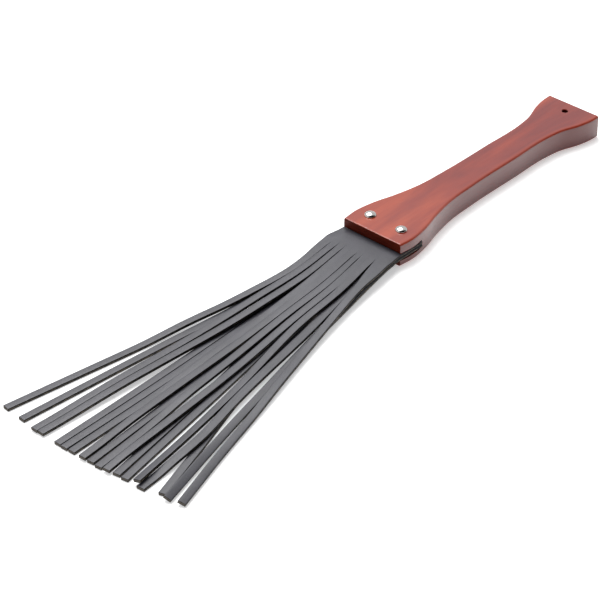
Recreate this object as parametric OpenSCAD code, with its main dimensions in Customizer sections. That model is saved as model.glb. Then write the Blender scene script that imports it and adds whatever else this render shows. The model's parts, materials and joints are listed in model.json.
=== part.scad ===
// Fly swatter with a wooden handle and a head of two slit leather sheets.
// The swatter lies flat on z = 0. The hanging hole's axis is the Z axis of
// this frame, the tails reach towards -X and the butt end is on the +X side.

/* [Handle] */
// Length of the wooden handle
handle_l = 241.6; // [200:0.1:280]
// Thickness of the board that the handle is cut from
handle_t = 19; // [15:0.5:25]
// Scale of the handle's width
width_scale = 1; // [0.8:0.01:1.2]
// Radius along the handle's long edges
edge_r = 1.8; // [1:0.1:3]
// Radius round the butt end
butt_r = 0.9; // [0.5:0.1:1]
// Diameter of the hanging hole
hole_d = 4.8; // [3:0.1:8]
// Distance of the hanging hole from the butt end
hole_inset = 11.6; // [8:0.1:20]

/* [Slot] */
// Height of the slot above the underside
slot_z = 5; // [4:0.1:6]
// Height of the slot
slot_h = 6.5; // [6:0.1:8]
// Depth of the slot behind the head's front edge
slot_depth = 24.5; // [22:0.5:40]

/* [Rivets] */
// Distance between the two rivets
rivet_gap = 29.7; // [20:0.1:40]
// Distance of the rivets behind the head's front edge
rivet_inset = 15.4; // [12:0.1:20]
// Diameter of the domed rivet head
dome_d = 9; // [6:0.1:12]
// Height of the domed rivet head
dome_h = 2.6; // [1.5:0.1:4]
// Diameter of the solid shank under the dome
shank_d = 3; // [2:0.1:4]
// Outer diameter of the hollow post that takes the shank
post_d = 5; // [4:0.1:6]
// Diameter of the post's flat foot
foot_d = 9; // [7:0.1:12]
// Thickness of the post's flat foot
foot_t = 1.2; // [0.8:0.1:2]

/* [Leather] */
// Thickness of each leather sheet
sheet_t = 2.4; // [1.5:0.1:3]
// Length of the uncut web in front of the handle
web_l = 16; // [10:0.5:30]
// Length of each tail from the web to its tip
tail_l = 298; // [200:1:320]
// Width of each tail
tail_w = 5.8; // [5:0.1:6]
// Width of the lower sheet's eighth tail, which is cut wider
wide_w = 6.5; // [5.8:0.1:7]
// Width of the slits between the tails
slit_w = 0.5; // [0.3:0.1:1]
// Width of each sheet where its tails begin
flare_w = 59; // [57:0.1:61]

/* [Hidden] */

tails = 9;
eps = 0.01;
gap = 0.05;
head_x = hole_inset - handle_l;
web_x = head_x - web_l;
slot_top = slot_z + slot_h;
layer_gap = 0.3;
lower_z = slot_z + (slot_h - 2 * sheet_t - layer_gap) / 2;
upper_z = lower_z + sheet_t + layer_gap;
tab_w = tails * tail_w + (tails - 1) * slit_w;
UPPER_W = [for (i = [1:tails]) tail_w];
LOWER_W = [for (i = [1:tails]) i == 8 ? wide_w : tail_w];
// Offsets from the centre line at which the slits start, left slit first.
UPPER_SLITS = [21.6, 15.8, 9.9, 4.2, -1.6, -6.6, -12.2, -17.9];
LOWER_SLITS = [for (i = [1:tails - 1]) flare_w * (1 / 2 - i / tails)];
flex_gap_in = 1.5;
flex_gap_out = 1.2;
root_gap = 0.35;
rivet_x = head_x + rivet_inset;
post_top = slot_top + 4;
floor_mid = sheet_t / 2;
stack_mid = floor_mid + sheet_t + layer_gap;

// Half width of the handle at distances from the head's front edge.
HANDLE_SIDE = [[0, 27.3], [12, 28.4], [30, 26.1], [50, 20.6], [70, 16.6], [100, 14.7],
               [150, 14.3], [190, 14.4], [204, 16.3], [222, 22.2], [233, 24.2], [241.6, 24.5]];
SIDE_L = HANDLE_SIDE[len(HANDLE_SIDE) - 1][0];

// Where the middle of each tail passes, left tail first. A row holds the
// offset from the centre line at each of the stations in front of the handle
// and at the tip.
STATIONS = [60, 110, 200, 250];
UPPER_PATH = [[21.3, 27.5, 41.8, 49.5, 58.5], [15.1, 17.2, 20.8, 23.3, 26.3],
              [8.1, 9.3, 14.6, 17.3, 20.4], [1.6, -1.2, -5.5, -7.1, -8.9],
              [-4.7, -7.2, -11.8, -15.0, -19.4], [-10.8, -13.3, -22.0, -27.2, -33.6],
              [-16.8, -20.7, -31.2, -35.8, -41.0], [-23.1, -27.6, -46.3, -55.8, -65.3],
              [-33.2, -45.3, -70.7, -84.6, -101.1]];
LOWER_PATH = [[19.5, 23.0, 31.7, 36.1, 41.4], [13.2, 11.2, 7.0, 5.5, 4.2],
              [7.0, 4.9, 0.8, -0.8, -2.1], [0.2, -5.0, -15.6, -20.6, -26.1],
              [-6.0, -13.0, -29.4, -37.9, -48.1], [-12.0, -19.5, -36.0, -44.8, -55.5],
              [-18.0, -27.5, -51.0, -67.5, -84.6], [-26.1, -35.9, -52.8, -64.4, -69.8],
              [-34.2, -42.4, -63.4, -76.1, -91.2]];
// How much shorter each tail is than the longest ones.
UPPER_SHORT = [3.1, 0.5, 0.8, 0.7, 0, 0, 0, 1.5, 0];
LOWER_SHORT = [3.0, 0.5, 0.3, 0, 0, 0, 0.7, 0, 0];

// How each tail settles: height of its middle once it has drooped, where the
// droop ends, where it leaves that height and where it reaches the last one,
// the last height and the lean at the tip in degrees, left edge up.
UPPER_FALL = [[stack_mid, 140, 145, 205, floor_mid, 0], [stack_mid, 180, 230, 310, 1.9, 0],
              [stack_mid, 180, 230, 310, 1.9, 0], [stack_mid, 150, 160, 240, floor_mid, 0],
              [stack_mid, 180, 255, 310, 2.2, 0], [stack_mid, 180, 205, 270, floor_mid, 0],
              [stack_mid, 180, 288, 312, 2.6, 0], [stack_mid, 180, 250, 310, 4.2, -13],
              [stack_mid, 145, 160, 220, 2.3, 16]];
LOWER_FALL = [[floor_mid, 140, 200, 310, floor_mid, 0], [floor_mid, 140, 200, 310, floor_mid, 0],
              [floor_mid, 140, 200, 310, floor_mid, 0], [floor_mid, 140, 200, 310, floor_mid, 0],
              [floor_mid, 140, 200, 310, floor_mid, 0], [floor_mid, 140, 200, 310, floor_mid, 0],
              [floor_mid, 140, 200, 310, floor_mid, 0], [stack_mid, 120, 264, 300, floor_mid, 0],
              [floor_mid, 140, 152, 235, 2.55, 22]];

STEPS = 18;
// A tail starts straight across and is square to its own path after root_turn.
// Its width has eased from the width at its root to its own after flare_run.
root_turn = 30;
flare_run = 44;
lean_from = 150;

// Slope of a smooth curve at knot k of the list p.
function secant(p, k) = (p[k + 1][1] - p[k][1]) / (p[k + 1][0] - p[k][0]);
function slope(p, k) =
    k == 0 ? secant(p, 0)
    : k == len(p) - 1 ? secant(p, k - 1)
    : let (a = p[k][0] - p[k - 1][0], b = p[k + 1][0] - p[k][0])
      (b * secant(p, k - 1) + a * secant(p, k)) / (a + b);
function span(p, s) = len([for (q = p) if (q[0] < s) 1]) - 1;
// Smooth curve through the knots of p, read at s.
function along(p, s) =
    let (k = max(0, min(len(p) - 2, span(p, s))))
    let (h = p[k + 1][0] - p[k][0], t = (s - p[k][0]) / h)
    (2 * t ^ 3 - 3 * t ^ 2 + 1) * p[k][1] + (t ^ 3 - 2 * t ^ 2 + t) * h * slope(p, k)
    + (3 * t ^ 2 - 2 * t ^ 3) * p[k + 1][1] + (t ^ 3 - t ^ 2) * h * slope(p, k + 1);
// Half cosine step from 0 before a to 1 after b.
function ease(a, b, s) = (1 - cos(180 * max(0, min(1, (s - a) / (b - a))))) / 2;

// Each sheet is given as [widths, paths, falls, shortenings, height of its underside, slits].
UPPER = [UPPER_W, UPPER_PATH, UPPER_FALL, UPPER_SHORT, upper_z, UPPER_SLITS];
LOWER = [LOWER_W, LOWER_PATH, LOWER_FALL, LOWER_SHORT, lower_z, LOWER_SLITS];
function root_left(i, sheet) = i == 0 ? flare_w / 2 : sheet[5][i - 1] - slit_w / 2;
function root_right(i, sheet) = i == tails - 1 ? -flare_w / 2 : sheet[5][i] + slit_w / 2;
function root_y(i, sheet) = (root_left(i, sheet) + root_right(i, sheet)) / 2;
function width_at(s, i, sheet) =
    let (extra = root_left(i, sheet) - root_right(i, sheet) - sheet[0][i])
    sheet[0][i] + extra * (1 - ease(web_l, web_l + flare_run, s));
function tip_s(i, sheet) =
    let (turn_out = sheet[1][i][len(STATIONS)] - root_y(i, sheet))
    web_l + sqrt((tail_l - sheet[3][i]) ^ 2 - turn_out ^ 2);
function knots(i, sheet) =
    concat([[web_l, root_y(i, sheet)]],
           [for (k = [0:len(STATIONS) - 1]) [STATIONS[k], sheet[1][i][k]]],
           [[tip_s(i, sheet), sheet[1][i][len(STATIONS)]]]);
function fall_z(s, start, f) =
    start + (f[0] - start) * ease(web_l, f[1], s) + (f[4] - f[0]) * ease(f[2], f[3], s);

// Skin over rings of equal length that follow one another towards -X,
// closed by its first and last ring.
module skin(rings) {
    n = len(rings[0]);
    m = len(rings);
    side = [for (r = [0:m - 2]) for (k = [0:n - 1]) for (half = [0, 1])
            let (a = r * n + k, b = r * n + (k + 1) % n)
            half == 0 ? [a, b, b + n] : [a, b + n, a + n]];
    first = [[for (k = [n - 1:-1:0]) k]];
    last = [[for (k = [0:n - 1]) (m - 1) * n + k]];
    polyhedron(points = [for (r = rings) each r], faces = concat(side, first, last));
}

// Cross-section of the handle at x: a rectangle w wide and t thick with
// rounded corners, drawn round its middle.
function handle_ring(x, w, t, r) =
    [for (c = [0:3]) for (q = [0:3])
     let (a = 90 * c + 30 * q, sy = c == 0 || c == 3 ? 1 : -1, sz = c < 2 ? 1 : -1)
     [x, sy * (w / 2 - r) + r * cos(a), handle_t / 2 + sz * (t / 2 - r) + r * sin(a)]];
function handle_w(s) = 2 * width_scale * along(HANDLE_SIDE, s * SIDE_L / handle_l);

module handle_blank() {
    front_r = 0.5;
    spans = 46;
    butt = [for (q = [3:-1:1])
            let (a = 30 * q, cut = butt_r * (1 - cos(a)), s = handle_l - butt_r + butt_r * sin(a))
            handle_ring(head_x + s, handle_w(s) - 2 * cut, handle_t - 2 * cut, edge_r - 0.9 * cut)];
    body = [for (k = [spans:-1:0])
            let (s = front_r + k * (handle_l - front_r - butt_r) / spans)
            handle_ring(head_x + s, handle_w(s), handle_t, edge_r)];
    front = [handle_ring(head_x, handle_w(0) - 2 * front_r, handle_t - 2 * front_r, edge_r - front_r)];
    skin(concat(butt, body, front));
}

module at_rivets() {
    for (side = [-1, 1]) {
        translate([rivet_x, side * rivet_gap / 2, 0])
            children();
    }
}

module handle() {
    color("sienna")
    difference() {
        handle_blank();
        translate([head_x - 1, -handle_l / 2, slot_z])
            cube([slot_depth + 1, handle_l, slot_h]);
        translate([0, 0, -1])
            cylinder(d = hole_d, h = handle_t + 2, $fn = 64);
        at_rivets() {
            translate([0, 0, -1])
                cylinder(d = foot_d + 0.4, h = foot_t + 0.1 + 1, $fn = 64);
            translate([0, 0, foot_t])
                cylinder(d = post_d + 2 * gap, h = post_top + gap - foot_t, $fn = 64);
            translate([0, 0, post_top])
                cylinder(d = shank_d + 2 * gap, h = handle_t, $fn = 64);
        }
    }
}

// Domed head with the shank that is driven into the post.
module rivet_dome(side) {
    dome_r = (dome_d ^ 2 / 4 + dome_h ^ 2) / (2 * dome_h);
    color("silver")
    translate([rivet_x, side * rivet_gap / 2, 0]) {
        intersection() {
            translate([0, 0, handle_t + dome_h - dome_r])
                sphere(r = dome_r, $fn = 96);
            translate([0, 0, handle_t])
                cylinder(d = dome_d + 1, h = dome_h + 1, $fn = 64);
        }
        translate([0, 0, foot_t + 1])
            cylinder(d = shank_d, h = handle_t - foot_t - 1 + eps, $fn = 64);
    }
}

// Hollow post with a flat foot, let into the underside.
module rivet_post(side) {
    color("silver")
    translate([rivet_x, side * rivet_gap / 2, 0])
    difference() {
        union() {
            translate([0, 0, 0.1])
                cylinder(d = foot_d, h = foot_t - 0.1, $fn = 64);
            translate([0, 0, foot_t - eps])
                cylinder(d = post_d, h = post_top - foot_t, $fn = 64);
        }
        translate([0, 0, foot_t + 1 - gap])
            cylinder(d = shank_d + gap, h = post_top, $fn = 64);
    }
}

// Clamped end of a sheet, in the slot.
module tab(z) {
    difference() {
        translate([head_x + flex_gap_in, -tab_w / 2, z])
            cube([slot_depth - flex_gap_in - 0.5, tab_w, sheet_t]);
        at_rivets()
            translate([0, 0, z - 1])
                cylinder(d = post_d + 4 * gap, h = sheet_t + 2, $fn = 64);
    }
}

// Uncut strip between the slot and the tails, which widens towards them.
module web(z) {
    front = web_x + root_gap;
    back = head_x - flex_gap_out;
    translate([0, 0, z])
        linear_extrude(sheet_t)
            polygon([[front, -flare_w / 2], [back, -tab_w / 2], [back, tab_w / 2], [front, flare_w / 2]]);
}

// One tail: a strip that fans out and droops to the floor.
function tail_ring(s, i, sheet) =
    let (p = knots(i, sheet), end = tip_s(i, sheet), fall = sheet[2][i])
    let (turn = ease(web_l, web_l + root_turn, s))
    let (m = (along(p, s + 0.5) - along(p, s - 0.5)) * turn, g = sqrt(1 + m ^ 2))
    let (lean = fall[5] * ease(lean_from, end, s))
    let (mid = [head_x - s, along(p, s), fall_z(s, sheet[4] + sheet_t / 2, fall)])
    let (w = width_at(s, i, sheet))
    let (across = [m / g * cos(lean), cos(lean) / g, sin(lean)] * w / 2)
    let (up = [-m / g * sin(lean), -sin(lean) / g, cos(lean)] * sheet_t / 2)
    [mid + across + up, mid - across + up, mid - across - up, mid + across - up];

module tail(i, sheet) {
    end = tip_s(i, sheet);
    skin([for (k = [0:STEPS]) tail_ring(web_l + k * (end - web_l) / STEPS, i, sheet)]);
}

module upper_tail(i) {
    color("dimgray")
    tail(i - 1, UPPER);
}

module lower_tail(i) {
    color("gray")
    tail(i - 1, LOWER);
}

module upper_tab() {
    color("dimgray")
    tab(upper_z);
}

module lower_tab() {
    color("gray")
    tab(lower_z);
}

module upper_web() {
    color("dimgray")
    web(upper_z);
}

module lower_web() {
    color("gray")
    web(lower_z);
}

handle();
rivet_dome(1);  // rivet_dome_left
rivet_dome(-1);  // rivet_dome_right
rivet_post(1);  // rivet_post_left
rivet_post(-1);  // rivet_post_right
upper_tab();
lower_tab();
upper_web();
lower_web();
upper_tail(1);  // upper_tail_1
upper_tail(2);  // upper_tail_2
upper_tail(3);  // upper_tail_3
upper_tail(4);  // upper_tail_4
upper_tail(5);  // upper_tail_5
upper_tail(6);  // upper_tail_6
upper_tail(7);  // upper_tail_7
upper_tail(8);  // upper_tail_8
upper_tail(9);  // upper_tail_9
lower_tail(1);  // lower_tail_1
lower_tail(2);  // lower_tail_2
lower_tail(3);  // lower_tail_3
lower_tail(4);  // lower_tail_4
lower_tail(5);  // lower_tail_5
lower_tail(6);  // lower_tail_6
lower_tail(7);  // lower_tail_7
lower_tail(8);  // lower_tail_8
lower_tail(9);  // lower_tail_9
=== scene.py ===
"""Fly swatter: a lacquered wooden handle that clamps two slit leather sheets with two rivets."""
import math
import bmesh
import bpy
import numpy as np
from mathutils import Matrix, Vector
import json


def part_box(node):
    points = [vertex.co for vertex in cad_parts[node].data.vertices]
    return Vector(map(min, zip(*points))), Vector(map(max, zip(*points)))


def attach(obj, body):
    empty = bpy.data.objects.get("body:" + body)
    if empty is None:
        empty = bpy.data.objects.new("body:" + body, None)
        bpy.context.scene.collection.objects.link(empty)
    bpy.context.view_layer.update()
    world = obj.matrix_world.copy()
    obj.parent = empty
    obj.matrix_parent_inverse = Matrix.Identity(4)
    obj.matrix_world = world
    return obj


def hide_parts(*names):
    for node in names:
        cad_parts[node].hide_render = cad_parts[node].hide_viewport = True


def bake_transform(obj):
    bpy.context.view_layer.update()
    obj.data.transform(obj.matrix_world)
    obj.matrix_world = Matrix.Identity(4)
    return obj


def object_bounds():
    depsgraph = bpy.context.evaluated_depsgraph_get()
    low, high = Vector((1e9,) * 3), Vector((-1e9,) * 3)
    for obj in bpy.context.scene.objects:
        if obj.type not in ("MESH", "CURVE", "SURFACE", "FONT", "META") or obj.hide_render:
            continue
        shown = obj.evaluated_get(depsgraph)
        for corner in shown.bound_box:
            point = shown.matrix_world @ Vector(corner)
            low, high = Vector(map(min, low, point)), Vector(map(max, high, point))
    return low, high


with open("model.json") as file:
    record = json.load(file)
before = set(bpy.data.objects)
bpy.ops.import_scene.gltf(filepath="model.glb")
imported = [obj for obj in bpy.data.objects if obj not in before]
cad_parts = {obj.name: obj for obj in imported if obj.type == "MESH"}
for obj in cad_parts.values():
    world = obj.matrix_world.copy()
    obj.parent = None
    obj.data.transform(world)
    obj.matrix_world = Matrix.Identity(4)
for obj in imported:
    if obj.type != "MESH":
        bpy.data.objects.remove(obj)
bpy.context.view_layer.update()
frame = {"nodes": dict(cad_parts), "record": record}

MM = 0.001

# ---------------------------------------------------------------- sizes

HANDLE_LO, HANDLE_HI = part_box("handle")
HEAD_X, BUTT_X, HANDLE_T = HANDLE_LO.x, HANDLE_HI.x, HANDLE_HI.z
EDGE_R = 1.8 * MM           # rounding of the handle's long edges
BUTT_R = 0.9 * MM           # rounding round the butt end
FRONT_R = 0.7 * MM          # rounding round the two front end faces
HOLE_R = next(m for m in frame["record"]["mounts"] if m["name"] == "hang_hole")["dims"]["r_mm"] * MM
SLOT_GAP = 0.7 * MM         # space over and under the leather in the slot
SLOT_END_GAP = 0.5 * MM     # space behind the leather in the slot
POST_R = 2.5 * MM           # the rivets' hollow posts
SHANK_R = 1.5 * MM          # the shanks under the rivets' domes
FOOT_T = 1.2 * MM           # the flat feet of the posts
FREE_FIT = 0.05 * MM        # clearance round the posts and the shanks

TAILS = 9
LEATHER_CORNER = 0.35 * MM  # rounding of the tails' edges
CLAMPED_CORNER = 0.80 * MM  # rounding of the sheets' edges where the slot squeezes them
CROWN = 0.10 * MM           # how much the grain side of the leather bulges
WEB_X = max(v.co.x for v in frame["nodes"]["upper_tail_1"].data.vertices)
SLIT_HALF = 0.25 * MM       # half of the slits' width, which the tails fill where a slit starts
SLIT_CLOSED = 1 * MM        # how far in front of the web the slits start to show
SLIT_OPEN = 14 * MM         # how far in front of the web they stand open
LATE_SLITS = {("upper", 4): 75 * MM, ("upper", 7): 40 * MM}   # slits whose edges touch for longer
SHEETS = {"upper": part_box("upper_tab"), "lower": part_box("lower_tab")}


def smooth(xs, ys, x):
    """Smooth curve through the knots (xs, ys), read at x. A knot is a number or a vector."""
    slope = np.gradient(ys, xs, axis=0)
    k = np.clip(np.searchsorted(xs, x) - 1, 0, len(xs) - 2)
    h = xs[k + 1] - xs[k]
    t = (x - xs[k]) / h
    if ys.ndim == 2:
        h, t = h[:, None], t[:, None]
    start = (2 * t ** 3 - 3 * t ** 2 + 1) * ys[k] + (t ** 3 - 2 * t ** 2 + t) * h * slope[k]
    end = (3 * t ** 2 - 2 * t ** 3) * ys[k + 1] + (t ** 3 - t ** 2) * h * slope[k + 1]
    return start + end


def ease(a, b, x):
    """Smooth step from 0 at a to 1 at b."""
    t = np.clip((x - a) / (b - a), 0, 1)
    return t * t * (3 - 2 * t)


# ---------------------------------------------------------------- shader nodes

def new_material(name):
    """A material, its node tree and its Principled shader."""
    material = bpy.data.materials.new(name)
    material.use_nodes = True
    tree = material.node_tree
    return material, tree, tree.nodes["Principled BSDF"]


def put(tree, socket, value):
    """Links value to socket if it comes from a node, or sets it."""
    if isinstance(value, bpy.types.NodeSocket):
        tree.links.new(value, socket)
    elif hasattr(value, "__len__") and len(value) == 3 and len(socket.default_value) == 4:
        socket.default_value = (*value, 1)
    else:
        socket.default_value = value


def object_place(tree, stretch=(1, 1, 1)):
    """Places on the object in metres, multiplied by stretch."""
    coords = tree.nodes.new("ShaderNodeTexCoord")
    mapping = tree.nodes.new("ShaderNodeMapping")
    mapping.inputs["Scale"].default_value = stretch
    tree.links.new(coords.outputs["Object"], mapping.inputs["Vector"])
    return mapping.outputs["Vector"]


def noise(tree, place, detail=4, roughness=0.5, distortion=0.0):
    """Cloudy noise from 0 to 1, about one blob per unit of place."""
    node = tree.nodes.new("ShaderNodeTexNoise")
    node.inputs["Scale"].default_value = 1
    node.inputs["Detail"].default_value = detail
    node.inputs["Roughness"].default_value = roughness
    node.inputs["Distortion"].default_value = distortion
    tree.links.new(place, node.inputs["Vector"])
    return node.outputs["Fac"]


def ramp(tree, fac, stops):
    """Colours or grey levels between the stops, a list of (place, colour or level)."""
    node = tree.nodes.new("ShaderNodeValToRGB")
    elements = node.color_ramp.elements
    while len(elements) < len(stops):
        elements.new(0.5)
    for element, (place, colour) in zip(elements, stops):
        element.position = place
        element.color = (*colour, 1) if hasattr(colour, "__len__") else (colour, colour, colour, 1)
    tree.links.new(fac, node.inputs["Fac"])
    return node.outputs["Color"]


def mix(tree, fac, a, b):
    """Colour a changed towards b by fac."""
    node = tree.nodes.new("ShaderNodeMix")
    node.data_type = "RGBA"
    put(tree, node.inputs[0], fac)
    put(tree, node.inputs[6], a)
    put(tree, node.inputs[7], b)
    return node.outputs[2]


def calc(tree, operation, a, b=0.0):
    """One step of arithmetic."""
    node = tree.nodes.new("ShaderNodeMath")
    node.operation = operation
    put(tree, node.inputs[0], a)
    put(tree, node.inputs[1], b)
    return node.outputs[0]


def span(tree, value, low, high, to_low, to_high):
    """value from low..high mapped to to_low..to_high."""
    node = tree.nodes.new("ShaderNodeMapRange")
    for socket, number in zip(node.inputs[1:5], (low, high, to_low, to_high)):
        socket.default_value = number
    put(tree, node.inputs[0], value)
    return node.outputs[0]


def bump(tree, height, distance, normal=None):
    """A bump of the given height in metres."""
    node = tree.nodes.new("ShaderNodeBump")
    node.inputs["Strength"].default_value = 1
    node.inputs["Distance"].default_value = distance
    tree.links.new(height, node.inputs["Height"])
    if normal:
        tree.links.new(normal, node.inputs["Normal"])
    return node.outputs["Normal"]


# ---------------------------------------------------------------- materials

def wood_material():
    """Cherry-stained hardwood under clear lacquer, its grain along X."""
    deep, cherry, pale = (0.180, 0.015, 0.012), (0.265, 0.027, 0.012), (0.390, 0.056, 0.019)
    blotch, streak, pore = (0.200, 0.026, 0.024), (0.140, 0.016, 0.010), (0.080, 0.012, 0.008)
    painted_rim_tint, painted_side_shade = (0.300, 0.030, 0.007), (0.095, 0.014, 0.014)
    material, tree, surface = new_material("stained_wood")
    clouds = noise(tree, object_place(tree, (9, 40, 40)), 3, 0.5, 0.6)
    blotches = noise(tree, object_place(tree, (30, 90, 90)), 3, 0.5)
    streaks = noise(tree, object_place(tree, (16, 330, 330)), 4, 0.55, 0.2)
    fibres = noise(tree, object_place(tree, (120, 2400, 2400)), 3, 0.6)
    place = tree.nodes.new("ShaderNodeSeparateXYZ")
    tree.links.new(object_place(tree), place.inputs[0])
    # painted light falloff: the wood is made paler towards the head and darker towards the butt
    painted_falloff = span(tree, place.outputs[0], HEAD_X, 0, 0.12, -0.12)
    shade = calc(tree, "ADD", clouds, painted_falloff)
    stain = ramp(tree, shade, [(0.32, deep), (0.50, cherry), (0.70, pale)])
    stain = mix(tree, ramp(tree, blotches, [(0.45, 0.0), (0.75, 0.4)]), stain, blotch)
    stain = mix(tree, ramp(tree, streaks, [(0.45, 0.0), (0.80, 0.16)]), stain, streak)
    stain = mix(tree, ramp(tree, fibres, [(0.30, 0.25), (0.38, 0.0)]), stain, pore)
    rim = tree.nodes.new("ShaderNodeAttribute")
    rim.attribute_name = "rim"
    # painted reflection loss: a saturated band along the right edge's rounding only, where the
    # lacquer mirrors less of the white surroundings
    near_rim = span(tree, rim.outputs["Fac"], 0.5 * EDGE_R, 2.5 * EDGE_R, 0.8, 0.0)
    stain = mix(tree, near_rim, stain, painted_rim_tint)
    normal = tree.nodes.new("ShaderNodeNewGeometry").outputs["Normal"]
    axes = tree.nodes.new("ShaderNodeSeparateXYZ")
    tree.links.new(normal, axes.inputs[0])
    # painted shade: faces that stand upright get a darker colour than the top, for the less light
    # that falls on them
    on_side = span(tree, calc(tree, "ABSOLUTE", axes.outputs[2]), 0.10, 0.50, 0.85, 0.0)
    stain = mix(tree, on_side, stain, painted_side_shade)
    tree.links.new(stain, surface.inputs["Base Color"])
    tree.links.new(span(tree, streaks, 0.3, 0.7, 0.34, 0.50), surface.inputs["Roughness"])
    surface.inputs["Coat Weight"].default_value = 1
    surface.inputs["Coat Roughness"].default_value = 0.14
    surface.inputs["Specular IOR Level"].default_value = 0.18
    relief = bump(tree, streaks, 0.03 * MM)
    tree.links.new(bump(tree, fibres, 0.015 * MM, relief), surface.inputs["Normal"])
    return material


def end_grain_material():
    """The same wood sawn across its fibres, which has soaked up more stain and is duller."""
    dark_ring, light_ring = (0.070, 0.007, 0.002), (0.115, 0.012, 0.004)
    pore = (0.015, 0.003, 0.002)
    material, tree, surface = new_material("stained_end_grain")
    rings = noise(tree, object_place(tree, (60, 90, 900)), 4, 0.6, 0.4)
    pores = noise(tree, object_place(tree, (60, 2200, 2200)), 3, 0.6)
    stain = ramp(tree, rings, [(0.35, dark_ring), (0.65, light_ring)])
    stain = mix(tree, ramp(tree, pores, [(0.34, 0.7), (0.44, 0.0)]), stain, pore)
    tree.links.new(stain, surface.inputs["Base Color"])
    tree.links.new(span(tree, pores, 0.3, 0.7, 0.60, 0.45), surface.inputs["Roughness"])
    surface.inputs["Coat Weight"].default_value = 0.06
    surface.inputs["Coat Roughness"].default_value = 0.25
    surface.inputs["Specular IOR Level"].default_value = 0.06
    tree.links.new(bump(tree, pores, 0.03 * MM), surface.inputs["Normal"])
    return material


def leather_material():
    """Black leather's smooth grain side."""
    black, worn, rubbed = (0.028, 0.028, 0.036), (0.046, 0.045, 0.058), (0.070, 0.069, 0.084)
    material, tree, surface = new_material("leather_grain")
    patches = noise(tree, object_place(tree, (60, 60, 60)), 3, 0.5)
    grain = noise(tree, object_place(tree, (1500, 1500, 1500)), 4, 0.6)
    cells = tree.nodes.new("ShaderNodeTexVoronoi")
    cells.feature = "DISTANCE_TO_EDGE"
    cells.inputs["Scale"].default_value = 1
    tree.links.new(object_place(tree, (1100, 1100, 1100)), cells.inputs["Vector"])
    creases = ramp(tree, cells.outputs["Distance"], [(0.0, 0.0), (0.16, 1.0)])
    colour = ramp(tree, patches, [(0.30, black), (0.70, worn)])
    colour = mix(tree, span(tree, grain, 0.35, 0.65, 0.0, 0.5), colour, rubbed)
    tree.links.new(colour, surface.inputs["Base Color"])
    tree.links.new(span(tree, grain, 0.3, 0.7, 0.34, 0.50), surface.inputs["Roughness"])
    surface.inputs["Specular IOR Level"].default_value = 0.5
    relief = bump(tree, creases, 0.025 * MM)
    tree.links.new(bump(tree, grain, 0.04 * MM, relief), surface.inputs["Normal"])
    return material


def cut_edge_material():
    """The leather's cut long edges, dyed black and painted darker still as shade, with the paler
    core showing as a thin line.
    """
    # dyed black, and painted far darker than the grain side as the shade on the cut edges and in
    # the gaps between tails
    dyed_and_shaded, faded_and_shaded, tan = (0.002, 0.002, 0.002), (0.006, 0.006, 0.006), (0.230, 0.185, 0.135)
    material, tree, surface = new_material("leather_cut_edge")
    depth = tree.nodes.new("ShaderNodeAttribute")
    depth.attribute_name = "depth"
    core = span(tree, calc(tree, "ABSOLUTE", depth.outputs["Fac"]), 0.12, 0.32, 1.0, 0.0)
    wear = noise(tree, object_place(tree, (300, 300, 300)), 3, 0.6)
    fibres = noise(tree, object_place(tree, (700, 700, 2500)), 4, 0.6)
    amount = calc(tree, "MULTIPLY", core, span(tree, wear, 0.40, 0.65, 0.1, 0.9))
    dark = ramp(tree, fibres, [(0.3, dyed_and_shaded), (0.7, faded_and_shaded)])
    tree.links.new(mix(tree, amount, dark, tan), surface.inputs["Base Color"])
    tree.links.new(span(tree, fibres, 0.3, 0.7, 0.55, 0.80), surface.inputs["Roughness"])
    surface.inputs["Specular IOR Level"].default_value = 0.2
    tree.links.new(bump(tree, fibres, 0.05 * MM), surface.inputs["Normal"])
    return material


def core_material():
    """The raw fibres that show where the tails are cut off square."""
    gap, fibre, dyed_skin = (0.050, 0.045, 0.040), (0.140, 0.122, 0.105), (0.016, 0.016, 0.017)
    material, tree, surface = new_material("leather_raw_end")
    depth = tree.nodes.new("ShaderNodeAttribute")
    depth.attribute_name = "depth"
    skin_part = span(tree, calc(tree, "ABSOLUTE", depth.outputs["Fac"]), 0.55, 0.85, 0.0, 1.0)
    fibres = noise(tree, object_place(tree, (1600, 1600, 1600)), 4, 0.65)
    raw = ramp(tree, fibres, [(0.3, gap), (0.7, fibre)])
    tree.links.new(mix(tree, skin_part, raw, dyed_skin), surface.inputs["Base Color"])
    surface.inputs["Roughness"].default_value = 0.85
    surface.inputs["Specular IOR Level"].default_value = 0.2
    tree.links.new(bump(tree, fibres, 0.08 * MM), surface.inputs["Normal"])
    return material


def nickel_material():
    """Polished nickel with fine rubbing marks."""
    dull, bright = (0.50, 0.49, 0.48), (0.64, 0.63, 0.61)
    material, tree, surface = new_material("polished_nickel")
    marks = noise(tree, object_place(tree, (500, 4000, 2000)), 3, 0.6)
    haze = noise(tree, object_place(tree, (400, 400, 400)), 3, 0.5)
    colour = ramp(tree, haze, [(0.3, dull), (0.7, bright)])
    tree.links.new(colour, surface.inputs["Base Color"])
    surface.inputs["Metallic"].default_value = 1
    tree.links.new(span(tree, haze, 0.3, 0.7, 0.06, 0.16), surface.inputs["Roughness"])
    tree.links.new(bump(tree, marks, 0.004 * MM), surface.inputs["Normal"])
    return material


def floor_material():
    """White seamless paper, which glows a little so that it stays as white as a cut-out."""
    material, tree, surface = new_material("white_paper")
    tooth = noise(tree, object_place(tree, (900, 900, 900)), 3, 0.5)
    colour = ramp(tree, tooth, [(0.3, 0.90), (0.7, 0.93)])
    tree.links.new(colour, surface.inputs["Base Color"])
    surface.inputs["Roughness"].default_value = 0.9
    surface.inputs["Specular IOR Level"].default_value = 0.1
    surface.inputs["Emission Color"].default_value = (1, 1, 1, 1)
    surface.inputs["Emission Strength"].default_value = 0.45
    return material


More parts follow.
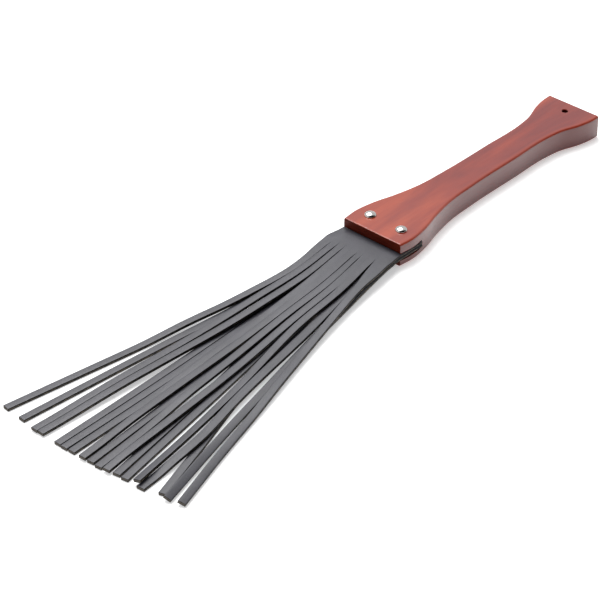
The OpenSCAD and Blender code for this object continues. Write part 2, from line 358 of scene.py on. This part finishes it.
# ---------------------------------------------------------------- mesh tools

def new_piece(name, mesh, materials):
    """An object in the scene that shows mesh."""
    piece = bpy.data.objects.new(name, mesh)
    bpy.context.scene.collection.objects.link(piece)
    for material in materials:
        mesh.materials.append(material)
    return piece


def skin(name, rings):
    """Closed mesh over rings (an array of rings x points x 3), with a cap at each end."""
    count, size = rings.shape[:2]
    faces = []
    for start in range(0, (count - 1) * size, size):
        for k in range(size):
            after = (k + 1) % size
            faces.append((start + k, start + after, start + size + after, start + size + k))
    faces += [tuple(range(size)), tuple(range((count - 1) * size, count * size))]
    mesh = bpy.data.meshes.new(name)
    mesh.from_pydata(rings.reshape(-1, 3).tolist(), [], faces)
    outward(mesh)
    return mesh


def outward(mesh):
    """Turns all faces to the outside."""
    work = bmesh.new()
    work.from_mesh(mesh)
    bmesh.ops.recalc_face_normals(work, faces=work.faces)
    work.to_mesh(mesh)
    work.free()


def soften(mesh, angle):
    """Smooth shading, broken only at edges sharper than angle."""
    mesh.shade_smooth()
    mesh.set_sharp_from_angle(angle=math.radians(angle))


def lathe(name, profile, middle, steps=64):
    """Closed mesh of profile, (radius, height) pairs, turned round the upright axis at middle."""
    work = bmesh.new()
    rings = []
    for radius, height in profile:
        angles = [2 * math.pi * k / steps for k in range(steps)] if radius else [0]
        places = [(middle.x + radius * math.cos(a), middle.y + radius * math.sin(a), height)
                  for a in angles]
        rings.append([work.verts.new(place) for place in places])
    for low, high in zip(rings, rings[1:] + rings[:1]):
        for k in range(steps):
            after = k + 1
            corners = [low[k % len(low)], low[after % len(low)],
                       high[after % len(high)], high[k % len(high)]]
            corners = list(dict.fromkeys(corners))
            if len(corners) > 2:
                work.faces.new(corners)
    bmesh.ops.recalc_face_normals(work, faces=work.faces)
    mesh = bpy.data.meshes.new(name)
    work.to_mesh(mesh)
    work.free()
    return mesh


def block(name, low, high):
    """A box from corner low to corner high."""
    middle = (Vector(low) + Vector(high)) / 2
    work = bmesh.new()
    bmesh.ops.create_cube(work, size=1)
    bmesh.ops.scale(work, vec=Vector(high) - Vector(low), verts=work.verts)
    bmesh.ops.translate(work, vec=middle, verts=work.verts)
    mesh = bpy.data.meshes.new(name)
    work.to_mesh(mesh)
    work.free()
    return mesh


def cut(piece, tools):
    """Takes the meshes in tools out of piece."""
    for mesh in tools:
        tool = bpy.data.objects.new("cutter", mesh)
        bpy.context.scene.collection.objects.link(tool)
        modifier = piece.modifiers.new("cut", "BOOLEAN")
        modifier.operation = "DIFFERENCE"
        modifier.solver = "EXACT"
        modifier.object = tool
        apply_modifiers(piece)
        bpy.data.objects.remove(tool)


def apply_modifiers(piece):
    """Puts the result of the piece's modifiers into its mesh."""
    bpy.context.view_layer.update()
    evaluated = piece.evaluated_get(bpy.context.evaluated_depsgraph_get())
    mesh = bpy.data.meshes.new_from_object(evaluated)
    piece.modifiers.clear()
    piece.data = mesh


def rounded_section(half_w, half_t, radii, flat_steps, side_steps, corner_steps=4, crown=0.0):
    """Points (across, up) round a rectangle. radii are those of its left and its right corners."""
    points = []
    for corner, (sx, sz) in enumerate([(1, 1), (-1, 1), (-1, -1), (1, -1)]):
        radius = radii[0] if sx > 0 else radii[1]
        for k in range(corner_steps):
            a = math.radians(90 * (corner + k / (corner_steps - 1)))
            points.append((sx * (half_w - radius) + radius * math.cos(a),
                           sz * (half_t - radius) + radius * math.sin(a)))
        flat = corner % 2 == 0
        steps = flat_steps if flat else side_steps
        end = half_w - (radii[1] if sx > 0 else radii[0])
        for k in range(1, steps):
            t = math.cos(math.pi * k / steps)
            if flat:
                bulge = crown * (1 - t * t) if corner == 0 else 0
                across = (half_w - radius) * (1 + t) / 2 - end * (1 - t) / 2
                points.append((sx * across, sz * half_t + bulge))
            else:
                points.append((sx * half_w, sz * t * (half_t - radius)))
    return np.array(points)


# ---------------------------------------------------------------- handle

LONG_GRAIN, END_GRAIN = 0, 1        # the handle's material slots


def handle_outline():
    """Places along X and half widths of the CAD handle, read from its lower side vertices."""
    near = 0.1 * MM
    first, last = HEAD_X + 0.4 * MM, BUTT_X - BUTT_R + near
    widths = {}
    for v in frame["nodes"]["handle"].data.vertices:
        if abs(v.co.z - EDGE_R) < near and first < v.co.x < last:
            x = round(v.co.x, 5)
            widths[x] = max(widths.get(x, 0), v.co.y)
    xs = np.array(sorted(widths))
    return xs, np.array([widths[x] for x in xs])


def handle_rings():
    """Cross-sections of the solid handle from its front to its butt."""
    xs, halves = handle_outline()
    body_steps, end_steps = 220, 6
    flat_steps, side_steps, corner_steps = 14, 6, 7
    shrink = 0.9    # how much an edge's radius shrinks with the section's inset at the ends
    quarter = np.radians(np.linspace(0, 90, end_steps + 1))[1:]
    stations = [(HEAD_X + FRONT_R * (1 - math.sin(a)), FRONT_R * (1 - math.cos(a)))
                for a in quarter[::-1]]
    stations += [(x, 0) for x in np.linspace(HEAD_X + FRONT_R, BUTT_X - BUTT_R, body_steps)]
    stations += [(BUTT_X - BUTT_R * (1 - math.sin(a)), BUTT_R * (1 - math.cos(a))) for a in quarter]
    rings = []
    for x, inset in stations:
        half = float(smooth(xs, halves, np.array([x]))[0]) - inset
        radius = EDGE_R - shrink * inset
        section = rounded_section(half, HANDLE_T / 2 - inset, (radius, radius),
                                  flat_steps, side_steps, corner_steps)
        rings.append([(x, y, HANDLE_T / 2 + z) for y, z in section])
    return np.array(rings)


def paint_rim(mesh):
    """Says for each vertex how far it lies inside the handle's right outline, in metres."""
    xs, halves = handle_outline()
    places = np.array([v.co for v in mesh.vertices])
    inside = smooth(xs, halves, np.clip(places[:, 0], xs[0], xs[-1])) + places[:, 1]
    attribute = mesh.attributes.new("rim", "FLOAT", "POINT")
    attribute.data.foreach_set("value", inside.astype(np.float32))


def rivet_places():
    """Middles of the two rivets."""
    places = {}
    for side in ("left", "right"):
        low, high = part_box("rivet_dome_" + side)
        places[side] = (low + high) / 2
    return places


def make_handle(materials):
    """The handle with its slot, hanging hole and rivet bores."""
    beyond = 2 * MM         # how far the cutters stand out of the wood
    wide = 40 * MM          # half of the slot cutter's width
    rim = 0.45 * MM         # chamfer of the hanging hole
    foot_fit, over_foot = 0.2 * MM, 0.1 * MM    # space round and over the rivets' feet
    edge_break = 0.22 * MM  # bevel of the edges that the cutters leave
    end_facing = 0.9        # an end face's normal points at least this much along X
    handle = new_piece("wooden_handle", skin("wooden_handle", handle_rings()), materials)
    slot_low = SHEETS["lower"][0].z - SLOT_GAP
    slot_high = SHEETS["upper"][1].z + SLOT_GAP
    slot_end = SHEETS["upper"][1].x + SLOT_END_GAP
    tools = [block("slot", (HEAD_X - beyond, -wide, slot_low), (slot_end, wide, slot_high))]
    profile = [(0, -beyond), (HOLE_R + rim + beyond, -beyond), (HOLE_R + rim, 0), (HOLE_R, rim),
               (HOLE_R, HANDLE_T - rim), (HOLE_R + rim, HANDLE_T),
               (HOLE_R + rim + beyond, HANDLE_T + beyond), (0, HANDLE_T + beyond)]
    tools.append(lathe("hole", profile, Vector((0, 0, 0))))
    for side, place in rivet_places().items():
        foot_low, foot_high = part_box("rivet_post_" + side)
        foot_r = (foot_high.y - foot_low.y) / 2 + foot_fit
        post_r, shank_r = POST_R + FREE_FIT, SHANK_R + FREE_FIT
        profile = [(0, -beyond), (foot_r, -beyond), (foot_r, FOOT_T + over_foot),
                   (post_r, FOOT_T + over_foot), (post_r, foot_high.z), (shank_r, foot_high.z),
                   (shank_r, HANDLE_T + beyond), (0, HANDLE_T + beyond)]
        tools.append(lathe("bore", profile, place))
    cut(handle, tools)
    bevel = handle.modifiers.new("soften", "BEVEL")
    bevel.width = edge_break
    bevel.segments = 2
    bevel.limit_method = "ANGLE"
    bevel.angle_limit = math.radians(50)
    apply_modifiers(handle)
    paint_rim(handle.data)
    for face in handle.data.polygons:
        face.material_index = END_GRAIN if abs(face.normal.x) > end_facing else LONG_GRAIN
    soften(handle.data, angle=35)
    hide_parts("handle")
    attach(handle, "handle")


# ---------------------------------------------------------------- rivets

def make_rivets(material):
    """Each rivet's dome with its shank, and its hollow post with the flat foot."""
    lip = 0.35 * MM         # height of a dome's upright rim
    seat = 0.02 * MM        # space between a dome and the wood
    taper = 0.3 * MM        # chamfers of the shanks and the posts
    arc_end, arc_steps = 78, 14
    for side, place in rivet_places().items():
        low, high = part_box("rivet_dome_" + side)
        radius, rise = (high.y - low.y) / 2, high.z - HANDLE_T
        arc = [(radius * math.sin(a), HANDLE_T + lip + (rise - lip) * math.cos(a))
               for a in np.radians(np.linspace(0, arc_end, arc_steps))]
        profile = arc + [(radius, HANDLE_T + lip * 0.6), (radius, HANDLE_T + seat),
                         (SHANK_R, HANDLE_T + seat), (SHANK_R, low.z + taper),
                         (SHANK_R - taper, low.z), (0, low.z)]
        mesh = lathe("rivet_cap", profile, place)
        dome = new_piece("rivet_cap_" + side, mesh, [material])
        soften(dome.data, angle=50)
        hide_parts("rivet_dome_" + side)
        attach(dome, "handle")

        low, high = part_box("rivet_post_" + side)
        foot, bore = (high.y - low.y) / 2, SHANK_R + FREE_FIT
        bore_end = FOOT_T + MM
        under = [(0, 0.35), (0.45, 0.25), (0.8, 0), (0.95, 0.1), (1, 0.45)]   # of foot, and in mm
        profile = [(foot * share, low.z + lift * MM) for share, lift in under]
        profile += [(foot * 0.97, FOOT_T), (POST_R + taper, FOOT_T), (POST_R, FOOT_T + taper),
                    (POST_R, high.z - taper), (POST_R - taper, high.z), (bore, high.z),
                    (bore, bore_end), (0, bore_end)]
        mesh = lathe("rivet_base", profile, place)
        post = new_piece("rivet_base_" + side, mesh, [material])
        soften(post.data, angle=50)
        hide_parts("rivet_post_" + side)
        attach(post, "handle")


# ---------------------------------------------------------------- leather

SECTION_TOP, SECTION_SIDE = 4, 2    # faces along a flat side and a cut edge of a cross-section
CUT_FACETS = 2                      # of a rounded corner's three faces, those on the cut edge
TAIL_RINGS = 145
GRAIN, CUT_EDGE, RAW_END = 0, 1, 2  # the leather's material slots
SQUEEZED = 0.08             # share of its rounding that an edge keeps while its slit is closed
GAPE = 0.8                  # share of a slit's half width that a free tail gives back


def paint_depth(mesh, depths):
    """Says for each vertex how far up the leather's thickness it lies, from -1 to 1."""
    attribute = mesh.attributes.new("depth", "FLOAT", "POINT")
    attribute.data.foreach_set("value", np.asarray(depths, np.float32))


def is_edge(index, size):
    """Whether the face after point index of a cross-section lies on one of the two cut edges."""
    half = size // 2
    step = index % half
    return step < CUT_FACETS or step >= half - CUT_FACETS - SECTION_SIDE


def leather_section(half_w, half_t, radii, crown):
    """Points (across, up) round the leather, its top bulging by crown."""
    return rounded_section(half_w, half_t, radii, SECTION_TOP, SECTION_SIDE, crown=crown)


def tail_frame(node):
    """Middles, half-width vectors and half-thickness vectors along a CAD tail, from root to tip."""
    corners = np.unique(np.round([v.co for v in frame["nodes"][node].data.vertices], 6), axis=0)
    rings = corners[np.argsort(-corners[:, 0])].reshape(-1, 4, 3)
    middles, across, up = [], [], []
    for ring in rings:
        ring = ring[np.argsort(ring[:, 1])]
        right = ring[:2][np.argsort(ring[:2, 2])]
        left = ring[2:][np.argsort(ring[2:, 2])]
        middles.append(ring.mean(0))
        across.append((left.mean(0) - right.mean(0)) / 2)
        up.append((left[1] + right[1] - left[0] - right[0]) / 4)
    return np.array(middles), np.array(across), np.array(up)


def slit_start(layer, slit):
    """How far in front of the web a slit starts. A sheet's two outer edges stand free all along."""
    if slit in (0, TAILS):
        return -SLIT_OPEN
    return LATE_SLITS.get((layer, slit), 0)


def make_tail(node, materials):
    """A leather tail along the CAD one, with rounded edges and a raw square end."""
    layer, _, number = node.split("_")
    starts = [slit_start(layer, int(number) - side) for side in (1, 0)]
    knots = tail_frame(node)
    places = np.arange(len(knots[0]), dtype=float)
    fine = np.linspace(0, places[-1], TAIL_RINGS)
    middles, across, up = (smooth(places, k, fine) for k in knots)
    rings, depths = [], []
    for middle, a, u in zip(middles, across, up):
        run = WEB_X - middle[0]
        half_w, half_t = np.linalg.norm(a), np.linalg.norm(u)
        apart = [ease(start + SLIT_CLOSED, start + SLIT_OPEN, run) for start in starts]
        left, right = (SLIT_HALF * (1 - GAPE * opened) for opened in apart)
        radii = [LEATHER_CORNER * (SQUEEZED + (1 - SQUEEZED) * opened) for opened in apart]
        section = leather_section(half_w + (left + right) / 2, half_t, radii, CROWN * min(apart))
        sideways, upward = a / half_w, u / half_t
        middle = middle + sideways * (left - right) / 2
        rings.append([middle + sideways * p + upward * q for p, q in section])
        depths += [q / half_t for p, q in section]
    mesh = skin(node, np.array(rings))
    paint_depth(mesh, depths)
    size = len(rings[0])
    for face in mesh.polygons:
        if len(face.vertices) > 4:
            face.material_index = RAW_END
        else:
            first = min(i % size for i in face.vertices)
            last = max(i % size for i in face.vertices)
            index = last if last - first > 1 else first
            face.material_index = CUT_EDGE if is_edge(index, size) else GRAIN
    soften(mesh, angle=60)
    tail = new_piece("leather_" + node, mesh, materials)
    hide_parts(node)
    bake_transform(tail)
    return tail


def make_sheet(layer, materials):
    """The clamped and uncut part of a leather sheet."""
    hole_fit, over = 0.1 * MM, 1 * MM   # space round the posts, and how far the cutters stand out
    upright = 0.6                       # a cut edge's normal points less than this much up
    tab_low, tab_high = SHEETS[layer]
    web_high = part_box(layer + "_web")[1]
    back_half, front_half = tab_high.y, web_high.y
    half_t = (tab_high.z - tab_low.z) / 2
    z = (tab_high.z + tab_low.z) / 2
    # the rings stand closest round the head joint
    stations = np.concatenate([np.linspace(tab_high.x, HEAD_X + 2.2 * MM, 8),
                               np.linspace(HEAD_X + 2 * MM, HEAD_X - 6 * MM, 33),
                               np.linspace(HEAD_X - 6.5 * MM, WEB_X, 14)])
    rings = []
    for x in stations:
        clamped = ease(WEB_X, web_high.x, x)
        half = back_half + (front_half - back_half) * (1 - clamped)
        radius = LEATHER_CORNER + (CLAMPED_CORNER - LEATHER_CORNER) * clamped
        section = leather_section(half, half_t, (radius, radius), 0)
        rings.append([(x, p, z + q) for p, q in section])
    mesh = skin(layer + "_sheet", np.array(rings))
    sheet = new_piece("leather_%s_sheet" % layer, mesh, materials)
    hole_r = POST_R + hole_fit
    profile = [(0, tab_low.z - over), (hole_r, tab_low.z - over),
               (hole_r, tab_high.z + over), (0, tab_high.z + over)]
    cut(sheet, [lathe("hole", profile, place) for place in rivet_places().values()])
    mesh = sheet.data
    paint_depth(mesh, [(v.co.z - z) / half_t for v in mesh.vertices])
    for face in mesh.polygons:
        face.material_index = CUT_EDGE if abs(face.normal.z) < upright else GRAIN
    soften(mesh, angle=50)
    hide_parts(layer + "_tab", layer + "_web")
    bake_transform(sheet)
    return sheet


def make_leather():
    """Both leather sheets with their tails."""
    materials = [leather_material(), cut_edge_material(), core_material()]
    for layer in SHEETS:
        tails = [make_tail("%s_tail_%d" % (layer, i), materials) for i in range(1, TAILS + 1)]
        sheet = make_sheet(layer, materials)


# ---------------------------------------------------------------- stage, light and camera

def make_camera():
    """A camera beyond the tails and to the swatter's right, looking down at its middle."""
    azimuth, elevation, distance = math.radians(-47.98), math.radians(34.71), 1.934
    target = Vector((-0.3104, -0.0030, 0))
    sensor_mm, lens_mm, nearest = 36, 162.35, 0.01
    level = math.cos(elevation)
    back = Vector((math.sin(azimuth) * level, -math.cos(azimuth) * level, math.sin(elevation)))
    data = bpy.data.cameras.new("camera")
    data.sensor_width = sensor_mm
    data.lens = lens_mm
    data.clip_start = nearest
    camera = bpy.data.objects.new("camera", data)
    camera.location = target + back * distance
    camera.rotation_euler = back.to_track_quat("Z", "Y").to_euler()
    bpy.context.scene.collection.objects.link(camera)
    bpy.context.scene.camera = camera


def make_floor():
    """White paper a hair below the swatter."""
    reach, bottom, top = 4, -0.02, -0.05 * MM
    mesh = block("floor", (-reach, -reach, bottom), (reach, reach, top))
    floor = new_piece("floor", mesh, [floor_material()])


def make_light(name, place, target, size, power):
    """A soft square light that shines from place to target."""
    data = bpy.data.lights.new(name, "AREA")
    data.shape = "SQUARE"
    data.size = size
    data.energy = power
    light = bpy.data.objects.new(name, data)
    light.location = place
    light.rotation_euler = (Vector(place) - Vector(target)).to_track_quat("Z", "Y").to_euler()
    bpy.context.scene.collection.objects.link(light)


def make_world():
    """White surroundings that are darker on the swatter's right."""
    dark_side = Vector((-0.25, -0.92, 0.30)).normalized()
    world = bpy.data.worlds.new("studio")
    world.use_nodes = True
    tree = world.node_tree
    coords = tree.nodes.new("ShaderNodeTexCoord")
    dot = tree.nodes.new("ShaderNodeVectorMath")
    dot.operation = "DOT_PRODUCT"
    tree.links.new(coords.outputs["Generated"], dot.inputs[0])
    dot.inputs[1].default_value = dark_side
    shade = span(tree, dot.outputs["Value"], 0.30, 0.54, 0.80, 0.02)
    tree.links.new(shade, tree.nodes["Background"].inputs["Strength"])
    tree.nodes["Background"].inputs["Color"].default_value = (1, 1, 1, 1)
    bpy.context.scene.world = world


def make_stage():
    """The floor, the surroundings and one soft light from above the handle's left."""
    size, power = 1.1, 30
    bpy.context.scene.view_settings.view_transform = "Standard"
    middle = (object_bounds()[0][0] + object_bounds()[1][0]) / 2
    make_floor()
    make_world()
    make_light("overhead", (middle + 0.36, 0.66, 1.47), (middle, 0, 0), size, power)


make_camera()
make_stage()
make_handle([wood_material(), end_grain_material()])
make_rivets(nickel_material())
make_leather()
